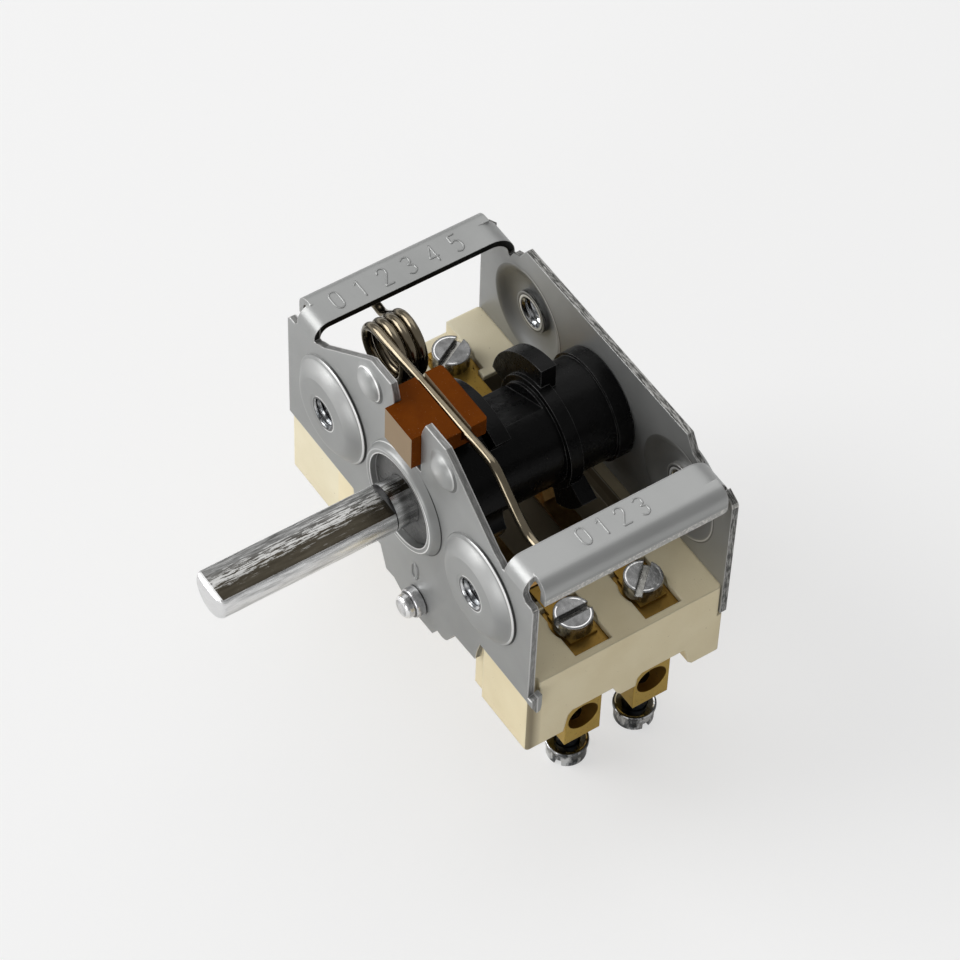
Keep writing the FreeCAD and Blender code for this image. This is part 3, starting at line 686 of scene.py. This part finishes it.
def dress_cad_nodes():
    """Give each CAD node the finish of its material slot."""
    for part in frame["record"]["subparts"]:
        node = frame["nodes"][part["node"]]
        node.data.materials.clear()
        node.data.materials.append(finishes[part["material_slot"]])


def grids_mesh(name, grids, slot, body, close_v=False, caps=False):
    """A piece from arrays of points [u, v, xyz] in mm: quads join each point to its next ones in u and v.

    close_v joins the last v column to the first, and caps closes the first and the last u row with a flat
    polygon."""
    verts = []
    faces = []
    for points in grids:
        nu, nv = points.shape[:2]
        index = np.arange(nu * nv).reshape(nu, nv) + len(verts)
        both = np.hstack([index, index[:, :1]]) if close_v else index
        quads = np.stack([both[:-1, :-1], both[:-1, 1:], both[1:, 1:], both[1:, :-1]], -1)
        faces += quads.reshape(-1, 4).tolist()
        if caps:
            faces.append(index[0, ::-1].tolist())
            faces.append(index[-1].tolist())
        verts += (points.reshape(-1, 3) * MM).tolist()
    mesh = bpy.data.meshes.new(name)
    mesh.from_pydata(verts, [], faces)
    mesh.polygons.foreach_set("use_smooth", np.ones(len(faces), bool))
    mesh.materials.append(finishes[slot])
    piece = bpy.data.objects.new(name, mesh)
    bpy.context.scene.collection.objects.link(piece)
    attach(piece, body)
    return piece


def around(sides):
    """Even angles round a full circle."""
    return np.linspace(0, 2 * np.pi, sides, endpoint=False)


def smooth_line(points, per_span):
    """Smooth curve: each span is a cubic, and each point is passed along the line between its neighbours."""
    p = np.array(points, float)
    p = np.vstack([2 * p[0] - p[1], p, 2 * p[-1] - p[-2]])
    t = np.linspace(0, 1, per_span, endpoint=False)[:, None]
    a, b, c, d = p[:-3, None], p[1:-2, None], p[2:-1, None], p[3:, None]
    bend = (2 * a - 5 * b + 4 * c - d) * t ** 2 + (3 * b - a - 3 * c + d) * t ** 3
    curve = 0.5 * (2 * b + (c - a) * t + bend)
    return np.vstack([curve.reshape(-1, p.shape[1]), p[-2:-1]])


def tube_grid(path, radius, sides, normal):
    """A round bar along a path: at each point a circle across the path, kept level with the given normal.

    The first and the last circle are smaller, which rounds the ends."""
    ahead = np.gradient(path, axis=0)
    ahead /= np.linalg.norm(ahead, axis=1)[:, None]
    across = np.cross(np.array(normal, float), ahead)
    across /= np.linalg.norm(across, axis=1)[:, None]
    other = np.cross(ahead, across)
    angle = around(sides)
    ring = np.cos(angle)[None, :, None] * across[:, None] + np.sin(angle)[None, :, None] * other[:, None]
    radii = np.full(len(path), radius)
    radii[[0, -1]] = radius * 0.8
    return path[:, None] + radii[:, None, None] * ring


def make_spring():
    """The torsion spring's wire: a short leg, a coil about a line along Y, and a long leg over the follower.

    Each leg's curve runs one span into the coil, and that span is cut off, so that it leaves smoothly."""
    span = 8
    turn = np.radians(np.linspace(COIL_START_DEG, COIL_STOP_DEG, 60 * COIL_TURNS))
    y = np.linspace(COIL_END_Y, LEG_Y, len(turn))
    coil = np.stack([COIL_X + COIL_R * np.cos(turn), y, COIL_Z + COIL_R * np.sin(turn)], -1)
    first = [(x, COIL_END_Y, z) for x, z in SHORT_LEG]
    last = [(x, LEG_Y, z) for x, z in LONG_LEG]
    lead = smooth_line(first + [tuple(coil[0]), tuple(coil[1])], span)[:-(span + 1)]
    leg = smooth_line([tuple(coil[-2]), tuple(coil[-1])] + last, span)[span + 1:]
    wire = tube_grid(np.vstack([lead, coil, leg]), WIRE_R, 20, (0, 1, 0))
    spring = grids_mesh("spring_coil_and_legs", [wire], "spring_wire", "base", close_v=True, caps=True)
    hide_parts("torsion_spring")
    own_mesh(spring)


def lathe_y(name, x, z, profile, face, slot, hollow=False):
    """A surface of revolution about a line along Y: each (radius, y) of the profile goes round a circle.

    The surface faces outwards, or into the dip when `hollow` is set."""
    angle = around(96)
    curve = smooth_line(profile, 4)
    r = curve[:, 0, None]
    y = np.broadcast_to(face + curve[:, 1, None], (len(curve), len(angle)))
    points = np.stack([x + r * np.cos(angle), y, z + r * np.sin(angle)], -1)
    if (profile[0][1] < profile[-1][1]) != hollow:
        points = points[::-1]
    return grids_mesh(name, [points], slot, "base", close_v=True)


def make_spindle():
    """D section swept along Y: the radius is the round's or, if less, the flat's height over sin(angle).

    The tip's face is a low parabola, and a quarter of an ellipse rounds its edge."""
    face = np.linspace(0.02, TIP_FACE_R, 7)
    turn = np.linspace(0, np.pi / 2, 9)[1:]
    y = np.concatenate([SHAFT_TIP + TIP_RISE * (face / TIP_FACE_R) ** 2,
                        SHAFT_TIP + TIP_RISE + TIP_ROUND * (1 - np.cos(turn)),
                        np.linspace(*EVEN_STATIONS), STATIONS])
    rounded = TIP_FACE_R + (SHAFT_R - TIP_FACE_R) * np.sin(turn)
    full = np.concatenate([face, rounded, np.full(len(y) - len(face) - len(turn), SHAFT_R)])
    flat = np.interp(y, (SHAFT_TIP, SHAFT_TIP + FLAT_CHAMFER, *FULL_FROM, *FULL_TO),
                     (FLAT_Z - FLAT_CHAMFER, FLAT_Z, FLAT_Z, SHAFT_R, SHAFT_R, FLAT_Z))
    angle = around(144)[::-1]
    sine = np.sin(angle)[None, :]
    above = sine > 1e-3
    r = np.minimum(full[:, None], np.where(above, flat[:, None] / np.where(above, sine, 1.0), np.inf))
    points = np.stack([r * np.cos(angle), np.broadcast_to(y[:, None], r.shape), r * np.sin(angle)], -1)
    spindle = grids_mesh("spindle_rod", [points], "spindle_steel", "rotor", close_v=True, caps=True)
    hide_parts("spindle")


def make_pin():
    """The locating pin: a rounded two step profile swept round a line along Y."""
    pin = lathe_y("pin_turned", PIN_X, PIN_Z, PIN, 0, "zinc_pin")
    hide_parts("locating_pin")


def make_flange(name, x, y):
    """The thick flange above a clamp screw's head: a rounded profile swept round an upright circle."""
    angle = around(72)
    curve = smooth_line(FLANGE, 3)
    r = curve[:, 0, None]
    z = np.broadcast_to(curve[:, 1, None], (len(curve), len(angle)))
    points = np.stack([x + r * np.cos(angle), y + r * np.sin(angle), z], -1)
    grids_mesh(name, [points], "screw_dark", "base", close_v=True)


def make_thread(name, x, y0, y1):
    """Thread ridge in a hole along Y: radius is the core's less a triangle wave of length / pitch - turn."""
    angle = around(48)
    y = np.linspace(y0, y1, 60)
    phase = (y[:, None] / PITCH - angle[None, :] / (2 * np.pi)) % 1.0
    wave = 1.0 - np.abs(2.0 * phase - 1.0)
    fade = np.clip(np.minimum(y - y0, y1 - y) / FADE_OUT, 0, 1)[:, None]
    r = CORE_R + WALL_GAP - CREST * wave * fade
    points = np.stack([x + r * np.cos(angle), np.broadcast_to(y[:, None], r.shape), r * np.sin(angle)], -1)
    grids_mesh(name, [points], "screw_dark", "base", close_v=True)


def make_number(name, text, start, directions, height, pitch):
    """Raised digits: each stroke is a curve through its points, swept with a thin round section half sunk."""
    start, right, up, normal = (np.array(v, float) for v in (start, *directions))
    grids = []
    for place, digit in enumerate(text):
        for stroke in DIGITS[digit]:
            flat = smooth_line(stroke, 12 if len(stroke) == 2 else 6)
            u = flat[:, :1] * height * CELL_WIDTH + place * pitch
            v = flat[:, 1:] * height * 0.5
            grids.append(tube_grid(start + u * right + v * up, STROKE_R, 8, normal))
    grids_mesh(name, grids, "zinc_sheet", "base", close_v=True, caps=True)


def make_frame_skins():
    """Rounded skins over the bosses, dishes, domes and collar, threads in the holes, and raised numbers."""
    for side, sign in (("left", -1), ("right", 1)):
        lathe_y("boss_front_" + side, sign * HOLE_X, 0, BOSS, 0, "zinc_sheet")
        lathe_y("boss_rear_" + side, sign * HOLE_X, 0, REAR_BOSS, DEPTH, "zinc_sheet")
        lathe_y("dish_rear_" + side, sign * HOLE_X, 0, DISH, DEPTH, "zinc_sheet", hollow=True)
        for row, y0, y1 in THREADS:
            make_thread("thread_%s_%s" % (row, side), sign * HOLE_X, y0, y1)
    for side, sign in (("left", -1), ("right", 1)):
        lathe_y("dome_" + side, sign * DOME_X, DOME_Z, DOME, 0, "zinc_sheet")
    lathe_y("collar_rim", 0, 0, COLLAR, 0, "zinc_sheet")
    for number in NUMBERS:
        make_number(*number)


def make_clamp_flanges():
    """One flange on each of the four clamp screws."""
    for row, y in zip(("front", "rear"), POLE_Y):
        for side, x in (("left", -CLAMP_X), ("right", CLAMP_X)):
            make_flange("clamp_flange_%s_%s" % (row, side), x, y)


def make_floor():
    """A wide square at the height of the lowest point of the clamp screws."""
    low = cad_box[0][2]
    reach = FLOOR_REACH
    corners = [(-reach, -reach, low), (reach, -reach, low), (reach, reach, low), (-reach, reach, low)]
    mesh = bpy.data.meshes.new("floor")
    mesh.from_pydata(corners, [], [(0, 1, 2, 3)])
    mesh.materials.append(floor_paint())
    piece = bpy.data.objects.new("floor", mesh)
    bpy.context.scene.collection.objects.link(piece)


def make_world():
    """A plain white world, brighter where the camera sees it than as a light."""
    world = Shader(bpy.data.worlds.new("studio"))
    white = (1.0, 1.0, 1.0, 1.0)
    light = world.node("ShaderNodeBackground", {}, {"Color": white, "Strength": WORLD_LIGHT})
    seen = world.node("ShaderNodeBackground", {}, {"Color": white, "Strength": WORLD_SEEN})
    by_camera = world.node("ShaderNodeLightPath", out="Is Camera Ray")
    both = world.node("ShaderNodeMixShader", {}, {0: by_camera, 1: light, 2: seen})
    world.node("ShaderNodeOutputWorld", {}, {"Surface": both})
    bpy.context.scene.world = world.owner


def soft_box(name, at, size, watts):
    """A square lamp at `at` that faces the switch."""
    data = bpy.data.lights.new(name, "AREA")
    data.shape = "SQUARE"
    data.size = size
    data.energy = watts
    lamp = bpy.data.objects.new(name, data)
    lamp.location = at
    lamp.rotation_euler = (Vector(AIM) - Vector(at)).to_track_quat("-Z", "Y").to_euler()
    bpy.context.scene.collection.objects.link(lamp)


def make_camera():
    """The fitted camera, from its place and its three axes."""
    camera = bpy.data.objects.new("camera", bpy.data.cameras.new("camera"))
    axes = Matrix((CAMERA_RIGHT, CAMERA_UP, CAMERA_BACK)).transposed().to_4x4()
    camera.matrix_world = Matrix.Translation(Vector(CAMERA_AT) * MM) @ axes
    camera.data.sensor_width = SENSOR
    camera.data.lens = LENS
    camera.data.clip_start, camera.data.clip_end = CLIP
    bpy.context.scene.collection.objects.link(camera)
    bpy.context.scene.camera = camera


dress_cad_nodes()
make_spring()
make_spindle()
make_pin()
make_frame_skins()
make_clamp_flanges()
make_floor()
make_world()
for lamp in SOFT_BOXES:
    soft_box(*lamp)
make_camera()

scene = bpy.context.scene
scene.view_settings.view_transform = "Standard"
